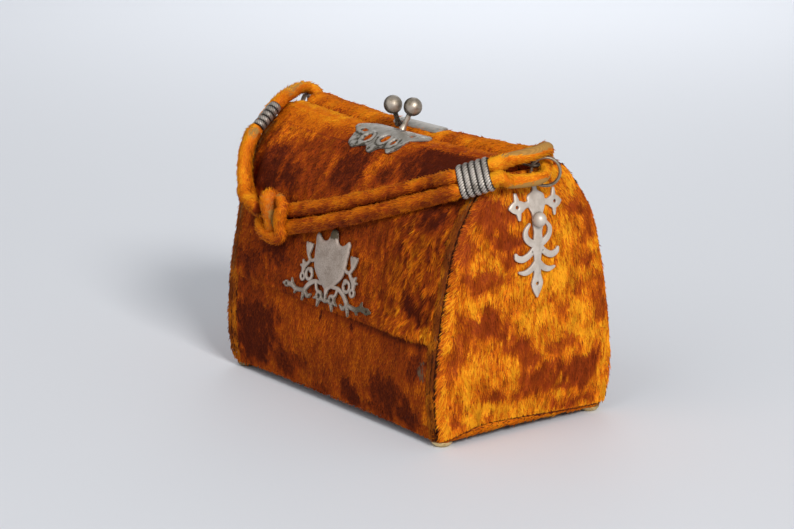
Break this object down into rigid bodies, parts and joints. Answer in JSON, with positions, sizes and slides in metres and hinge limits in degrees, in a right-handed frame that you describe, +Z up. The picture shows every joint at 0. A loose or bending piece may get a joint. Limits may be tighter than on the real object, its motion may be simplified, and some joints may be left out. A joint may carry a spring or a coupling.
{
  "type": "velvet handbag",
  "caption": "Small framed plush handbag on brass feet, with a ball clasp, pierced metal ornaments and a knotted doubled cord handle held in rings at its ends.",
  "frame": {"origin": "on the surface it stands on, under the middle of the bag", "axes": "X along the bag's length, +X its right end seen from the front, -Y the front face, +Z up"},
  "size_m": [0.2215, 0.1293, 0.1624],
  "materials": {
    "gold_velvet": "crushed gold plush with rust-brown worn patches",
    "brown_velvet": "crushed brown plush, mottled dark",
    "cord_velvet": "plush chenille cord, worn to its woven ground in places",
    "worn_binding": "plush binding worn to a flat grey-brown weave",
    "silver_plate": "cast and stamped white metal, tarnished in its hollows",
    "pewter": "dull grey white metal, oxidised",
    "dark_steel": "dark polished steel balls on bright stems",
    "brass": "pale worn brass domes"
  },
  "bodies": {
    "root": {"base": "brown_velvet", "foot_front_right": "brass", "foot_front_left": "brass", "foot_back_right": "brass", "foot_back_left": "brass", "front_panel": "brown_velvet", "front_flap": "brown_velvet", "back_panel": "brown_velvet", "end_panel_right": "gold_velvet", "end_panel_left": "gold_velvet", "welt_front_right": "worn_binding", "welt_front_left": "worn_binding", "welt_back_right": "worn_binding", "welt_back_left": "worn_binding", "front_jaw": "brown_velvet", "back_jaw": "brown_velvet", "clasp_plate_front": "pewter", "clasp_plate_back": "silver_plate", "clasp_stud_front": "dark_steel", "clasp_stud_back": "dark_steel", "shield_plate": "silver_plate", "end_plate_right": "silver_plate", "end_plate_left": "silver_plate", "end_knob_right": "silver_plate", "end_knob_left": "silver_plate", "ring_right": "pewter", "ring_left": "pewter", "ring_lug_right": "pewter", "ring_lug_left": "pewter", "handle_loop_right": "cord_velvet", "handle_loop_left": "cord_velvet", "ferrule_right": "silver_plate", "ferrule_left": "silver_plate", "strand_right_upper": "cord_velvet", "strand_right_lower": "cord_velvet", "strand_left_near": "cord_velvet", "strand_left_far": "cord_velvet", "handle_knot": "cord_velvet"}
  },
  "joints": []
}
